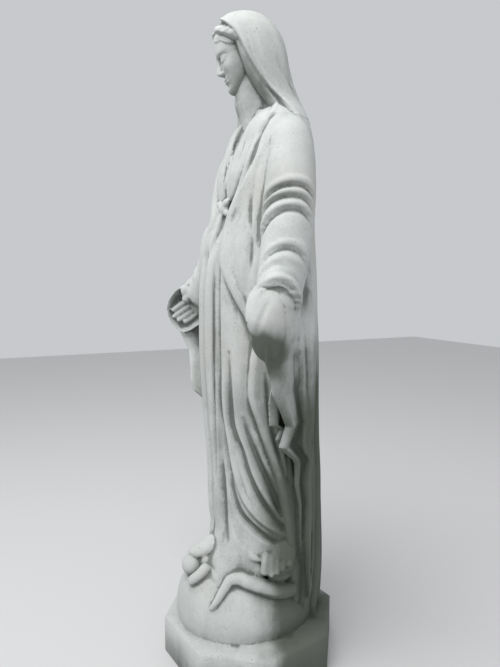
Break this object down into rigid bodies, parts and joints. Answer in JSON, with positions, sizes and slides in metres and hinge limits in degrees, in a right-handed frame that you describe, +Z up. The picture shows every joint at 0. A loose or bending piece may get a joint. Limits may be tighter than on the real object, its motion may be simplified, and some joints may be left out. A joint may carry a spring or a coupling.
{
  "type": "virgin mary statue",
  "caption": "Standing veiled figure with open hands in cast stone, on a globe with a serpent and apple over an eight-sided plinth",
  "frame": {"origin": "centre of the eight-sided plinth's underside, on the surface it stands on", "axes": "+Z up; the figure's front faces -Y and her left hand is on +X"},
  "size_m": [0.58, 0.424, 1.537],
  "materials": {
    "cast_stone": "weathered light grey cast stone, matt"
  },
  "bodies": {
    "root": {"statue": "cast_stone"}
  },
  "joints": []
}
